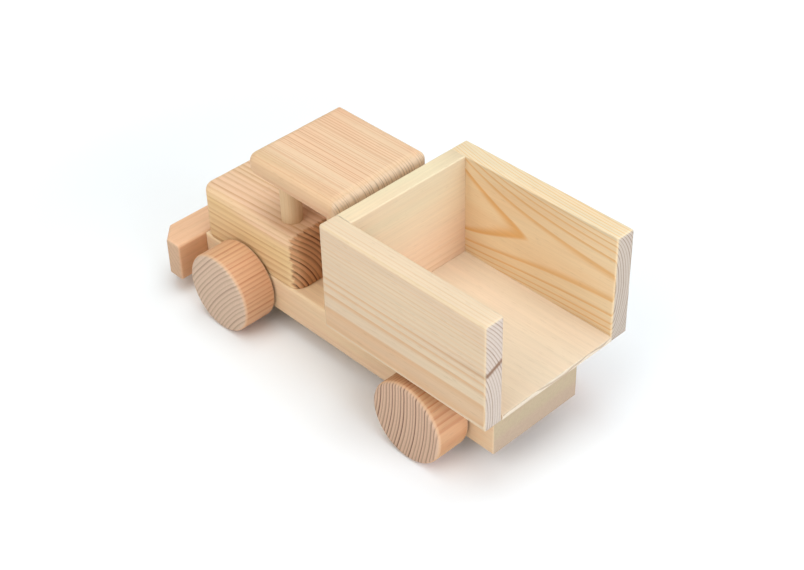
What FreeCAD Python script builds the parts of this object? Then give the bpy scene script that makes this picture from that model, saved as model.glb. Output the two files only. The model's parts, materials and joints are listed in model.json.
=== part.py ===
"""Wooden toy dump truck: a parametric FreeCAD document, in millimetres.

Frame: +X points to the truck's front, +Y to its left, +Z up. The origin is on the ground,
under the middle of the truck's overall length and width.
"""
import FreeCAD, Part
import Sketcher
import os
import re

from FreeCAD import Placement, Rotation, Vector

doc = FreeCAD.newDocument("toy_dump_truck")
X, Y, Z = "XYZ"

# ---------------------------------------------------------------- driving dimensions
SIZES = {
    # wheels and axles
    "wheel_diameter": (42.0, "across one wheel"),
    "wheel_width": (19.6, "thickness of one wheel"),
    "wheel_round": (2.0, "rounding of a wheel's rims"),
    "wheel_gap": (0.7, "side play between a wheel and the chassis"),
    "axle_diameter": (8.0, "axle dowel"),
    "axle_seat_depth": (12.0, "depth of the blind bore in a wheel"),
    "running_gap": (0.08, "radial clearance of a dowel that turns in its bore"),
    "glue_gap": (0.05, "radial clearance of a dowel that is glued in its bore"),
    "end_gap": (0.5, "glue space at the end of a blind bore"),
    # chassis board
    "chassis_length": (199.5, "along the truck"),
    "chassis_width": (55.2, "across the truck"),
    "chassis_thickness": (19.6, "board thickness"),
    "chassis_round": (1.0, "sanded edges"),
    "rear_axle_inset": (35.0, "rear axle from the chassis's rear end"),
    "front_axle_inset": (33.3, "front axle from the chassis's front end"),
    # hood block
    "hood_length": (70.4, "along the truck"),
    "hood_height": (30.0, "above the chassis"),
    "hood_corner_round": (7.0, "upright corners"),
    "hood_top_round": (4.0, "top edges"),
    # roof board and its posts
    "roof_length": (60.5, "along the truck"),
    "roof_width": (59.4, "across the truck"),
    "roof_thickness": (11.4, "board thickness"),
    "roof_setback": (41.6, "roof's front edge behind the hood's front"),
    "roof_corner_round": (2.5, "upright corners"),
    "roof_side_round": (4.0, "side edges, top and bottom"),
    "roof_end_round": (5.2, "front and rear edges, top and bottom"),
    "cab_opening_height": (27.4, "from the hood's top to the roof's underside"),
    "post_diameter": (10.5, "roof post dowel"),
    "post_spacing": (30.0, "between left and right post axes"),
    "front_post_inset": (13.5, "front posts from the roof's front edge"),
    "rear_post_inset": (13.5, "rear posts from the roof's rear edge"),
    "post_seat_depth": (8.0, "depth of a post's seat in the hood and the chassis"),
    "roof_seat_depth": (6.0, "depth of a post's seat in the roof"),
    # bumper bar
    "bumper_width": (90.4, "across the truck"),
    "bumper_thickness": (18.2, "along the truck"),
    "bumper_height": (21.6, "upright"),
    "bumper_chamfer": (9.0, "cut of the two front upright corners"),
    "bumper_round": (1.5, "sanded edges"),
    # glue dowels
    "dowel_diameter": (6.0, "hidden glue dowel"),
    "dowel_seat_depth": (10.0, "how far a glue dowel goes into each piece"),
    "dowel_chamfer": (0.6, "chamfer on dowel ends"),
    "hood_dowel_spacing": (40.0, "between the hood's two glue dowels, along the truck"),
    "bumper_dowel_spacing": (30.0, "between the bumper's two glue dowels, across the truck"),
    # dump bed
    "bed_length": (100.0, "along the truck"),
    "bed_width": (92.0, "across the truck, over the side walls"),
    "bed_height": (56.7, "height of the walls"),
    "side_wall_thickness": (10.5, "side boards"),
    "front_wall_thickness": (9.5, "front board"),
    "wall_round": (1.2, "sanded edges of the walls"),
    "floor_thickness": (2.5, "plywood floor"),
    "bed_overhang": (11.9, "bed's rear edge behind the chassis"),
    "wheel_clearance": (4.0, "between a rear wheel's top and the bed's underside"),
    "pin_diameter": (4.0, "glue pins between the side walls and the front wall"),
    "pin_side_depth": (6.0, "glue pin's depth in the side wall"),
    "pin_end_depth": (12.0, "glue pin's depth in the front wall's end"),
    "pin_spacing": (30.0, "between a joint's two glue pins, upright"),
    # tipping hinge
    "hinge_inset": (26.0, "hinge pin from the bed's rear edge"),
    "hinge_pin_diameter": (6.0, "hinge pin dowel"),
    "hinge_clearance": (0.6, "between a round hinge end and the board that it turns over"),
    "cheek_thickness": (10.0, "one hinge cheek, across the truck"),
    "hinge_side_gap": (0.5, "between a cheek and the bar"),
    "rest_length": (14.0, "front rest block, along the truck"),
    "rest_inset": (12.0, "front rest block behind the bed's front face"),
}

sheet = doc.addObject("Spreadsheet::Sheet", "dims")
for row, (alias, (value, meaning)) in enumerate(SIZES.items(), start=1):
    sheet.set(f"A{row}", alias)
    sheet.set(f"B{row}", str(value))
    sheet.set(f"C{row}", meaning)
    sheet.setAlias(f"B{row}", alias)
doc.recompute()

# Places that several pieces share, as expressions in the names above.
OVERALL_LENGTH = "(bed_overhang + chassis_length + bumper_thickness)"
BED_REAR = f"(-{OVERALL_LENGTH} / 2)"
CHASSIS_REAR = f"({BED_REAR} + bed_overhang)"
CHASSIS_FRONT = f"({CHASSIS_REAR} + chassis_length)"
CHASSIS_MIDDLE = f"({CHASSIS_REAR} + chassis_length / 2)"
AXLE_HEIGHT = "(wheel_diameter / 2)"
CHASSIS_TOP = f"({AXLE_HEIGHT} + chassis_thickness / 2)"
REAR_AXLE = f"({CHASSIS_REAR} + rear_axle_inset)"
FRONT_AXLE = f"({CHASSIS_FRONT} - front_axle_inset)"
HOOD_MIDDLE = f"({CHASSIS_FRONT} - hood_length / 2)"
HOOD_TOP = f"({CHASSIS_TOP} + hood_height)"
ROOF_BOTTOM = f"({HOOD_TOP} + cab_opening_height)"
ROOF_FRONT = f"({CHASSIS_FRONT} - roof_setback)"
ROOF_MIDDLE = f"({ROOF_FRONT} - roof_length / 2)"
FRONT_POST = f"({ROOF_FRONT} - front_post_inset)"
REAR_POST = f"({ROOF_FRONT} - roof_length + rear_post_inset)"
BED_LIFT = "(wheel_diameter / 2 + wheel_clearance - chassis_thickness / 2)"
BED_BOTTOM = f"({CHASSIS_TOP} + {BED_LIFT})"
BED_FRONT = f"({BED_REAR} + bed_length)"
INNER_WIDTH = "(bed_width - 2 * side_wall_thickness)"
HINGE_X = f"({BED_REAR} + hinge_inset)"
HINGE_Z = f"({CHASSIS_TOP} + {BED_LIFT} / 2)"
HINGE_ROUND = f"({BED_LIFT} / 2 - hinge_clearance)"
BAR_WIDTH = "(chassis_width - 2 * cheek_thickness - 2 * hinge_side_gap)"
GLUED = "2 * glue_gap"
RUNNING = "2 * running_gap"


def sized(expression):
    """Turn the sheet's names in an expression into references to its cells."""
    return re.sub(r"[a-z][a-z_]+", lambda word: "dims." + word.group(0), expression)


def value_of(expression):
    """The number that an expression in the sheet's names stands for, in millimetres."""
    number = re.sub(r"[a-z][a-z_]+", lambda word: repr(getattr(sheet, word.group(0))), expression)
    terms = doc.addObject("App::FeaturePython", "reading")
    terms.addProperty("App::PropertyFloat", "result")
    terms.setExpression("result", number)
    doc.recompute()
    result = terms.result
    doc.removeObject(terms.Name)
    return result


def bind(thing, **expressions):
    """Tie properties of an object to the sheet."""
    for name, expression in expressions.items():
        thing.setExpression(name.replace("__", "."), sized(expression))


def place(piece, x="0", y="0", z="0", turn=None):
    """Put a piece in the truck's frame. Its own origin goes to x, y, z."""
    piece.Placement = Placement(Vector(0, 0, 0), turn or Rotation())
    bind(piece, Placement__Base__x=x, Placement__Base__y=y, Placement__Base__z=z)


# ---------------------------------------------------------------- sketches and features
def new_body(name):
    body = doc.addObject("PartDesign::Body", name)
    body.Label = name
    return body


def new_sketch(body, plane, offset="0"):
    """A sketch on one of the body's own origin planes, moved along its normal by offset."""
    sketch = body.newObject("Sketcher::SketchObject", body.Name + "_sketch")
    support = [part for part in body.Origin.OriginFeatures if part.Role == plane][0]
    sketch.AttachmentSupport = [(support, "")]
    sketch.MapMode = "FlatFace"
    bind(sketch, AttachmentOffset__Base__z=offset)
    return sketch


def add_dimension(sketch, constraint, expression):
    """Add a size or distance constraint that follows the sheet."""
    index = sketch.addConstraint(constraint)
    sketch.setExpression(f"Constraints[{index}]", sized(expression))


def draw_rectangle(sketch, width, height, x="0", y="0"):
    """A rectangle of a width and a height, centred at x, y of the sketch."""
    across, up = value_of(width) / 2, value_of(height) / 2
    middle = Vector(value_of(x), value_of(y), 0)
    corners = [middle + Vector(i * across, j * up, 0) for i, j in ((-1, -1), (1, -1), (1, 1), (-1, 1))]
    first = sketch.GeometryCount
    for i in range(4):
        sketch.addGeometry(Part.LineSegment(corners[i], corners[(i + 1) % 4]), False)
    for i in range(4):
        sketch.addConstraint(Sketcher.Constraint("Coincident", first + i, 2, first + (i + 1) % 4, 1))
    sketch.addConstraint(Sketcher.Constraint("Horizontal", first))
    sketch.addConstraint(Sketcher.Constraint("Horizontal", first + 2))
    sketch.addConstraint(Sketcher.Constraint("Vertical", first + 1))
    sketch.addConstraint(Sketcher.Constraint("Vertical", first + 3))
    size_x = Sketcher.Constraint("DistanceX", first, 1, first, 2, 2 * across)
    size_y = Sketcher.Constraint("DistanceY", first + 1, 1, first + 1, 2, 2 * up)
    left = Sketcher.Constraint("DistanceX", -1, 1, first, 1, corners[0].x)
    low = Sketcher.Constraint("DistanceY", -1, 1, first, 1, corners[0].y)
    add_dimension(sketch, size_x, width)
    add_dimension(sketch, size_y, height)
    add_dimension(sketch, left, f"{x} - {width} / 2")
    add_dimension(sketch, low, f"{y} - {height} / 2")


def draw_circle(sketch, diameter, x="0", y="0"):
    """A circle centred at x, y of the sketch."""
    middle = Vector(value_of(x), value_of(y), 0)
    radius = value_of(diameter) / 2
    index = sketch.addGeometry(Part.Circle(middle, Vector(0, 0, 1), radius), False)
    add_dimension(sketch, Sketcher.Constraint("Radius", index, radius), f"({diameter}) / 2")
    add_dimension(sketch, Sketcher.Constraint("DistanceX", -1, 1, index, 3, middle.x), x)
    add_dimension(sketch, Sketcher.Constraint("DistanceY", -1, 1, index, 3, middle.y), y)


def pad(body, sketch, length, midplane=False, reverse=False):
    feature = body.newObject("PartDesign::Pad", body.Name + "_pad")
    feature.Profile = sketch
    feature.Midplane = midplane
    feature.Reversed = reverse
    bind(feature, Length=length)
    sketch.Visibility = False
    return feature


def drill(body, plane, offset, centres, diameter, depth, direction):
    """Round blind holes from a plane of the body, drilled along its normal (+1) or against it (-1)."""
    doc.recompute()
    before = body.Shape.Volume
    sketch = new_sketch(body, plane, offset)
    for x, y in centres:
        draw_circle(sketch, diameter, x, y)
    feature = body.newObject("PartDesign::Pocket", body.Name + "_holes")
    feature.Profile = sketch
    feature.Reversed = direction > 0
    bind(feature, Length=depth)
    sketch.Visibility = False
    doc.recompute()
    if body.Shape.Volume > before - 1.0:
        raise RuntimeError(f"the holes in {body.Label} cut nothing")
    return feature


def chosen_edges(feature, test):
    """Names of a feature's straight edges whose middle and direction pass a test."""
    doc.recompute()
    names = []
    for number, edge in enumerate(feature.Shape.Edges, start=1):
        if edge.Curve.TypeId != "Part::GeomLine":
            continue
        ends = [vertex.Point for vertex in edge.Vertexes]
        along = (ends[1] - ends[0]).normalize()
        if test(edge.CenterOfMass, along):
            names.append(f"Edge{number}")
    return names


def round_edges(body, feature, names, radius):
    fillet = body.newObject("PartDesign::Fillet", body.Name + "_round")
    fillet.Base = (feature, names)
    bind(fillet, Radius=radius)
    body.Tip = fillet
    return fillet


def circles(feature):
    """Names of a feature's round edges."""
    return [f"Edge{number}" for number, edge in enumerate(feature.Shape.Edges, start=1)
            if edge.Curve.TypeId == "Part::GeomCircle"]


def rims(feature, *levels):
    """Names of the edges that lie wholly at one of some heights."""
    return [f"Edge{number}" for number, edge in enumerate(feature.Shape.Edges, start=1)
            if any(all(abs(vertex.Z - level) < 0.001 for vertex in edge.Vertexes) for level in levels)]


def is_along(axis):
    """A test for straight edges along X, Y or Z."""
    return lambda middle, along: abs(getattr(along, axis.lower())) > 0.999


# ---------------------------------------------------------------- boards
def make_chassis():
    """A plain board with two through bores for the axles. Its own origin: middle of its top face."""
    body = new_body("chassis")
    side = new_sketch(body, "XZ_Plane")
    draw_rectangle(side, "chassis_length", "chassis_thickness", y="-chassis_thickness / 2")
    for axle in (REAR_AXLE, FRONT_AXLE):
        along = f"{axle} - {CHASSIS_MIDDLE}"
        draw_circle(side, f"axle_diameter + {RUNNING}", along, "-chassis_thickness / 2")
    board = pad(body, side, "chassis_width", midplane=True)
    edges = chosen_edges(board, lambda middle, along: True)
    round_edges(body, board, edges, "chassis_round")
    hood_x = f"{HOOD_MIDDLE} - {CHASSIS_MIDDLE}"
    dowels = [(f"{hood_x} + hood_dowel_spacing / 2", "0"), (f"{hood_x} - hood_dowel_spacing / 2", "0")]
    drill(body, "XY_Plane", "0", dowels, f"dowel_diameter + {GLUED}", "dowel_seat_depth + end_gap", -1)
    posts = [(f"{REAR_POST} - {CHASSIS_MIDDLE}", f"{side} * post_spacing / 2") for side in ("1", "-1")]
    drill(body, "XY_Plane", "0", posts, f"post_diameter + {GLUED}", "post_seat_depth + end_gap", -1)
    bumper = [(f"{side} * bumper_dowel_spacing / 2", "-chassis_thickness / 2") for side in ("1", "-1")]
    drill(body, "YZ_Plane", "chassis_length / 2", bumper, f"dowel_diameter + {GLUED}",
          "dowel_seat_depth + end_gap", -1)
    place(body, x=CHASSIS_MIDDLE, z=CHASSIS_TOP)
    return body


def make_hood():
    """The solid hood block, glued on the chassis. Its own origin: middle of its bottom face."""
    body = new_body("hood_block")
    plan = new_sketch(body, "XY_Plane")
    draw_rectangle(plan, "hood_length", "chassis_width")
    block = pad(body, plan, "hood_height")
    uprights = round_edges(body, block, chosen_edges(block, is_along(Z)), "hood_corner_round")
    doc.recompute()
    round_edges(body, uprights, rims(uprights, value_of("hood_height")), "hood_top_round")
    dowels = [("hood_dowel_spacing / 2", "0"), ("-hood_dowel_spacing / 2", "0")]
    drill(body, "XY_Plane", "0", dowels, f"dowel_diameter + {GLUED}", "dowel_seat_depth + end_gap", 1)
    posts = [(f"{FRONT_POST} - {HOOD_MIDDLE}", f"{side} * post_spacing / 2") for side in ("1", "-1")]
    drill(body, "XY_Plane", "hood_height", posts, f"post_diameter + {GLUED}", "post_seat_depth + end_gap", -1)
    place(body, x=HOOD_MIDDLE, z=CHASSIS_TOP)
    return body


def make_roof():
    """The roof board: what three boards of its size have in common, each rounded along one direction.

    Its own origin: middle of its bottom face.
    """
    rounded = []
    for axis, radius in ((X, "roof_side_round"), (Y, "roof_end_round"), (Z, "roof_corner_round")):
        body = new_body("roof_board_" + axis)
        plan = new_sketch(body, "XY_Plane")
        draw_rectangle(plan, "roof_length", "roof_width")
        board = pad(body, plan, "roof_thickness")
        round_edges(body, board, chosen_edges(board, is_along(axis)), radius)
        rounded.append(body)
    posts = [(f"{x} - {ROOF_MIDDLE}", f"{side} * post_spacing / 2")
             for x in (FRONT_POST, REAR_POST) for side in ("1", "-1")]
    drill(rounded[-1], "XY_Plane", "0", posts, f"post_diameter + {GLUED}", "roof_seat_depth + end_gap", 1)
    roof = doc.addObject("Part::MultiCommon", "roof")
    roof.Shapes = rounded
    roof.Label = "roof"
    place(roof, x=ROOF_MIDDLE, z=ROOF_BOTTOM)
    return roof


def make_bumper():
    """The bumper bar on the chassis's front end. Its own origin: middle of its rear face's top edge."""
    body = new_body("bumper")
    plan = new_sketch(body, "XY_Plane")
    draw_rectangle(plan, "bumper_thickness", "bumper_width", x="bumper_thickness / 2")
    bar = pad(body, plan, "bumper_height", reverse=True)
    thickness = value_of("bumper_thickness")
    corners = chosen_edges(bar, lambda middle, along: abs(along.z) > 0.999 and middle.x > thickness / 2)
    chamfer = body.newObject("PartDesign::Chamfer", "bumper_corners")
    chamfer.Base = (bar, corners)
    bind(chamfer, Size="bumper_chamfer")
    body.Tip = chamfer
    edges = chosen_edges(chamfer, lambda middle, along: True)
    round_edges(body, chamfer, edges, "bumper_round")
    dowels = [(f"{side} * bumper_dowel_spacing / 2", "-chassis_thickness / 2") for side in ("1", "-1")]
    drill(body, "YZ_Plane", "0", dowels, f"dowel_diameter + {GLUED}", "dowel_seat_depth + end_gap", 1)
    place(body, x=CHASSIS_FRONT, z=CHASSIS_TOP)
    return body


# ---------------------------------------------------------------- wheels and dowels
def make_wheel(name, axle, side):
    """A turned disc with a blind bore. Its own origin: middle of its inner face, axis along Y."""
    body = new_body(name)
    profile = new_sketch(body, "XZ_Plane")
    draw_circle(profile, "wheel_diameter")
    disc = pad(body, profile, "wheel_width", reverse=True)
    doc.recompute()
    round_edges(body, disc, circles(disc), "wheel_round")
    drill(body, "XZ_Plane", "0", [("0", "0")], f"axle_diameter + {GLUED}", "axle_seat_depth + end_gap", -1)
    turn = Rotation(Vector(0, 0, 1), 0 if side > 0 else 180)
    place(body, x=axle, y=f"{side} * (chassis_width / 2 + wheel_gap)", z=AXLE_HEIGHT, turn=turn)
    return body


def make_dowel(name, diameter, length, x, y, z, axis):
    """A round dowel with chamfered ends, centred at x, y, z along an axis."""
    body = new_body(name)
    plane = {X: "YZ_Plane", Y: "XZ_Plane", Z: "XY_Plane"}[axis]
    section = new_sketch(body, plane)
    draw_circle(section, diameter)
    rod = pad(body, section, length, midplane=True)
    doc.recompute()
    chamfer = body.newObject("PartDesign::Chamfer", name + "_ends")
    chamfer.Base = (rod, circles(rod))
    bind(chamfer, Size="dowel_chamfer")
    body.Tip = chamfer
    place(body, x=x, y=y, z=z)
    return body


def make_dowel_group(name, dowels):
    """Identical dowels kept as one node of separate solids."""
    group = doc.addObject("Part::Compound", name)
    group.Links = dowels
    group.Label = name
    return group


# ---------------------------------------------------------------- dump bed
def make_side_wall(name, side):
    """A side board of the bed, the bed's full length. Its own origin: rear bottom of its inner face."""
    body = new_body(name)
    face = new_sketch(body, "XZ_Plane")
    draw_rectangle(face, "bed_length", "bed_height", x="bed_length / 2", y="bed_height / 2")
    board = pad(body, face, "side_wall_thickness", reverse=side > 0)
    round_edges(body, board, chosen_edges(board, lambda middle, along: True), "wall_round")
    pins = [("bed_length - front_wall_thickness / 2", f"bed_height / 2 + {up} * pin_spacing / 2")
            for up in ("1", "-1")]
    drill(body, "XZ_Plane", "0", pins, f"pin_diameter + {GLUED}", "pin_side_depth + end_gap", -side)
    place(body, x=BED_REAR, y=f"{side} * {INNER_WIDTH} / 2", z=BED_BOTTOM)
    return body


def make_front_wall():
    """The bed's front board, between the side walls. Its own origin: middle of its bottom edge, inside."""
    body = new_body("bed_wall_front")
    face = new_sketch(body, "YZ_Plane")
    draw_rectangle(face, INNER_WIDTH, "bed_height", y="bed_height / 2")
    board = pad(body, face, "front_wall_thickness")
    long_edges = chosen_edges(board, is_along(Y))
    round_edges(body, board, long_edges, "wall_round")
    heights = [f"bed_height / 2 + {up} * pin_spacing / 2" for up in ("1", "-1")]
    pins = [("front_wall_thickness / 2", height) for height in heights]
    for side in (1, -1):
        drill(body, "XZ_Plane", f"{-side} * {INNER_WIDTH} / 2", pins, f"pin_diameter + {GLUED}",
              "pin_end_depth + end_gap", side)
    place(body, x=f"{BED_FRONT} - front_wall_thickness", z=BED_BOTTOM)
    return body


def make_floor():
    """The plywood floor, glued between the three walls. Its own origin: rear middle of its underside."""
    floor = doc.addObject("Part::Box", "bed_floor")
    floor.Label = "bed_floor"
    bind(floor, Length="bed_length - front_wall_thickness", Width=INNER_WIDTH, Height="floor_thickness")
    place(floor, x=BED_REAR, y=f"-{INNER_WIDTH} / 2", z=BED_BOTTOM)
    return floor


# ---------------------------------------------------------------- tipping hinge
def make_cheek(name, side):
    """A hinge cheek on the chassis, round at its top about the pin. Its own origin: the pin's axis."""
    body = new_body(name)
    profile = new_sketch(body, "XZ_Plane")
    draw_rectangle(profile, f"2 * {HINGE_ROUND}", f"{BED_LIFT} / 2", y=f"-{BED_LIFT} / 4")
    foot = pad(body, profile, "cheek_thickness", midplane=True)
    crown = new_sketch(body, "XZ_Plane")
    draw_circle(crown, f"2 * {HINGE_ROUND}")
    pad(body, crown, "cheek_thickness", midplane=True)
    drill(body, "XZ_Plane", "cheek_thickness / 2", [("0", "0")], f"hinge_pin_diameter + {GLUED}",
          "cheek_thickness", -1)
    place(body, x=HINGE_X, y=f"{side} * (chassis_width - cheek_thickness) / 2", z=HINGE_Z)
    return body


def make_hinge_bar():
    """The bar under the bed's floor, round at its bottom about the pin. Its own origin: the pin's axis."""
    body = new_body("hinge_bar")
    profile = new_sketch(body, "XZ_Plane")
    draw_rectangle(profile, f"2 * {HINGE_ROUND}", f"{BED_LIFT} / 2", y=f"{BED_LIFT} / 4")
    pad(body, profile, BAR_WIDTH, midplane=True)
    belly = new_sketch(body, "XZ_Plane")
    draw_circle(belly, f"2 * {HINGE_ROUND}")
    pad(body, belly, BAR_WIDTH, midplane=True)
    drill(body, "XZ_Plane", f"{BAR_WIDTH} / 2", [("0", "0")], f"hinge_pin_diameter + {RUNNING}",
          BAR_WIDTH, -1)
    place(body, x=HINGE_X, z=HINGE_Z)
    return body


def make_rest_block():
    """The block on the chassis that the lowered bed's front lies on."""
    block = doc.addObject("Part::Box", "rest_block")
    block.Label = "rest_block"
    bind(block, Length="rest_length", Width="chassis_width", Height=BED_LIFT)
    place(block, x=f"{BED_FRONT} - rest_inset - rest_length", y="-chassis_width / 2", z=CHASSIS_TOP)
    return block


# ---------------------------------------------------------------- the truck
def build():
    """Make every piece and return them in the order in which they are written."""
    pieces = [make_chassis(), make_hood(), make_roof(), make_bumper()]
    for end, axle in (("front", FRONT_AXLE), ("rear", REAR_AXLE)):
        for hand, side in (("left", 1), ("right", -1)):
            pieces.append(make_wheel(f"wheel_{end}_{hand}", axle, side))
        length = "chassis_width + 2 * wheel_gap + 2 * axle_seat_depth"
        pieces.append(make_dowel(f"axle_{end}", "axle_diameter", length, axle, "0", AXLE_HEIGHT, Y))
    sides = (("left", 1), ("right", -1))
    for hand, side in sides:
        y = f"{side} * post_spacing / 2"
        for end, x, foot in (("front", FRONT_POST, HOOD_TOP), ("rear", REAR_POST, CHASSIS_TOP)):
            low, high = f"({foot} - post_seat_depth)", f"({ROOF_BOTTOM} + roof_seat_depth)"
            length, middle = f"{high} - {low}", f"({low} + {high}) / 2"
            pieces.append(make_dowel(f"roof_post_{end}_{hand}", "post_diameter", length, x, y, middle, Z))
    length = "2 * dowel_seat_depth"
    pieces.append(make_dowel_group("hood_dowels", [
        make_dowel(f"hood_dowel_{n}", "dowel_diameter", length,
                   f"{HOOD_MIDDLE} + {way} * hood_dowel_spacing / 2", "0", CHASSIS_TOP, Z)
        for n, way in ((1, 1), (2, -1))]))
    pieces.append(make_dowel_group("bumper_dowels", [
        make_dowel(f"bumper_dowel_{hand}", "dowel_diameter", length, CHASSIS_FRONT,
                   f"{side} * bumper_dowel_spacing / 2", AXLE_HEIGHT, X)
        for hand, side in sides]))
    pieces += [make_side_wall("bed_wall_left", 1), make_side_wall("bed_wall_right", -1)]
    pieces += [make_front_wall(), make_floor()]
    length = "pin_side_depth + pin_end_depth"
    pins = [make_dowel(f"wall_pin_{hand}_{n}", "pin_diameter", length,
                       f"{BED_FRONT} - front_wall_thickness / 2",
                       f"{side} * ({INNER_WIDTH} / 2 + (pin_side_depth - pin_end_depth) / 2)",
                       f"{BED_BOTTOM} + bed_height / 2 + {up} * pin_spacing / 2", Y)
            for hand, side in sides for n, up in ((1, 1), (2, -1))]
    pieces.append(make_dowel_group("bed_wall_pins", pins))
    pieces += [make_cheek("hinge_cheek_left", 1), make_cheek("hinge_cheek_right", -1)]
    pieces += [make_hinge_bar(), make_rest_block()]
    pieces.append(make_dowel("hinge_pin", "hinge_pin_diameter", "chassis_width", HINGE_X, "0", HINGE_Z, Y))
    return pieces


def write(pieces):
    """Check every object and every piece, and write one STEP file for each piece."""
    doc.recompute()
    failed = [item.Label for item in doc.Objects if "Invalid" in item.State or "Error" in item.State]
    failed += [piece.Label for piece in pieces if piece.Shape.isNull() or not piece.Shape.isValid()]
    if failed:
        raise RuntimeError("failed objects: " + ", ".join(failed))
    os.makedirs("parts", exist_ok=True)
    for piece in pieces:
        piece.Shape.exportStep(f"parts/{piece.Label}.step")
        box = piece.Shape.BoundBox
        print(f"{piece.Label}: {len(piece.Shape.Solids)} solid(s), {piece.Shape.Volume / 1000:.2f} cm3,"
              f" x {box.XMin:.1f}..{box.XMax:.1f}, y {box.YMin:.1f}..{box.YMax:.1f},"
              f" z {box.ZMin:.1f}..{box.ZMax:.1f}")


write(build())
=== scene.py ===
# %% [markdown]
# # A pine toy dump truck
#
# The truck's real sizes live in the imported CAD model. This notebook loads it as a fixed frame
# and builds the looks around it: softly sanded boards, turned wheels and solid pine whose
# growth rings run right through each block, so that its sides and its end grain agree.

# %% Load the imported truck
import json

import bpy
import numpy as np
from mathutils import Matrix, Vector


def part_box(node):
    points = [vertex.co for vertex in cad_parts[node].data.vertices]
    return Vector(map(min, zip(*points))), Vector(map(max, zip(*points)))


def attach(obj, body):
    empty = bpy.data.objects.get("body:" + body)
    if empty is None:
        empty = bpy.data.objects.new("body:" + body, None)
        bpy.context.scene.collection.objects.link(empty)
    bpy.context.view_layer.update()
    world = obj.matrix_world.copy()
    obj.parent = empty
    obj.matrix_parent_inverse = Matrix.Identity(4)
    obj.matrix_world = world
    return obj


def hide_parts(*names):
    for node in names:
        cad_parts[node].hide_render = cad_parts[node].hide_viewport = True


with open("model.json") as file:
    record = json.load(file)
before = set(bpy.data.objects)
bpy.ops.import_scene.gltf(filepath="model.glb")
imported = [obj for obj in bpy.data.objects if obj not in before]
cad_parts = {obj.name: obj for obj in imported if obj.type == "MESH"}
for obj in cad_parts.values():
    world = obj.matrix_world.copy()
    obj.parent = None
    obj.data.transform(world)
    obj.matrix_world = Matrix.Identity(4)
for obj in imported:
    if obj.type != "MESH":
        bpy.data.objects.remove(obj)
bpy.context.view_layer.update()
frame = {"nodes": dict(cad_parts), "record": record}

MM = 0.001

# %% [markdown]
# ## The studio
#
# The toy stands on a pale floor among large soft lamps: one overhead, one on each side, and
# two at the rear, where a low cool one shines into the open bed. A little white air fills
# what shadows are left, and the far wall is plain white. The Standard view shows colours as
# they are mixed, which suits a bright product picture.

# %% White air
scene = bpy.context.scene
scene.view_settings.view_transform = "Standard"
scene.view_settings.look = "None"

AIR_STRENGTH = 0.20
WHITE = (1.0, 1.0, 1.0, 1.0)
air = bpy.data.worlds.new("studio_air")
air.use_nodes = True
air_tree = air.node_tree
glow = air_tree.nodes["Background"]
glow.inputs["Strength"].default_value = AIR_STRENGTH
white_wall = air_tree.nodes.new("ShaderNodeBackground")
for wall in (glow, white_wall):
    wall.inputs["Color"].default_value = WHITE
seen = air_tree.nodes.new("ShaderNodeLightPath")
either = air_tree.nodes.new("ShaderNodeMixShader")
air_tree.links.new(seen.outputs["Is Camera Ray"], either.inputs[0])
air_tree.links.new(glow.outputs[0], either.inputs[1])
air_tree.links.new(white_wall.outputs[0], either.inputs[2])
air_tree.links.new(either.outputs[0], air_tree.nodes["World Output"].inputs["Surface"])
scene.world = air
print("air strength:", AIR_STRENGTH)

# %% Soft lamps
def soft_lamp(name, azimuth, elevation, watts, size=0.9, away=1.2, colour=(1.0, 1.0, 1.0)):
    """A square softbox aimed at the truck, from a compass direction and a height in degrees.

    Azimuth 0 shines from -Y, 90 from +X, 180 from +Y and 270 from -X.
    """
    turn, rise = np.radians([azimuth, elevation])
    data = bpy.data.lights.new(name, "AREA")
    data.shape = "SQUARE"
    data.size = size
    data.energy = watts
    data.color = colour
    box = bpy.data.objects.new(name, data)
    box.location = away * np.array([np.sin(turn) * np.cos(rise), -np.cos(turn) * np.cos(rise),
                                    np.sin(rise)])
    box.rotation_euler = (np.pi / 2 - rise, 0.0, turn)
    scene.collection.objects.link(box)
    print(name, watts, "W")
    return box


COOL, CLEAN, WINDOW = (0.90, 0.98, 1.0), (1.0, 1.0, 0.98), (0.76, 0.85, 1.0)
soft_lamp("overhead_softbox", 0, 90, 8.4, colour=COOL)
soft_lamp("left_softbox", 180, 45, 6.3, colour=CLEAN)
soft_lamp("right_softbox", 0, 45, 2.5)
soft_lamp("rear_softbox", 270, 45, 2.0, colour=COOL)
soft_lamp("rear_window", 270, 20, 8.6, colour=WINDOW)

# %% [markdown]
# The camera looks down at the truck from behind its left rear corner. Its place is worked
# out from an azimuth and an elevation around a point in the middle of the truck, and then
# it is rolled by a degree and a half, as a hand-held camera is.

# %% Camera
AZIMUTH, ELEVATION, ROLL = np.radians([226.78, 38.63, -1.62])
DISTANCE = 0.7574
LOOK_AT = np.array([-0.0187, 0.0010, 0.0455])
LENS_MM = 72.7

backwards = np.array([
    np.sin(AZIMUTH) * np.cos(ELEVATION),
    -np.cos(AZIMUTH) * np.cos(ELEVATION),
    np.sin(ELEVATION),
])
level_right = np.cross(-backwards, [0.0, 0.0, 1.0])
level_right /= np.linalg.norm(level_right)
level_up = np.cross(backwards, level_right)
camera_right = level_right * np.cos(ROLL) + level_up * np.sin(ROLL)
camera_up = level_up * np.cos(ROLL) - level_right * np.sin(ROLL)

camera_data = bpy.data.cameras.new("camera")
camera_data.sensor_width = 36.0
camera_data.lens = LENS_MM
camera_data.clip_start = 0.01
camera = bpy.data.objects.new("camera", camera_data)
placing = np.eye(4)
placing[:3, 0], placing[:3, 1], placing[:3, 2] = camera_right, camera_up, backwards
placing[:3, 3] = LOOK_AT + backwards * DISTANCE
camera.matrix_world = Matrix(placing.tolist())
scene.collection.objects.link(camera)
scene.camera = camera
print("camera at", placing[:3, 3].round(4))

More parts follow.
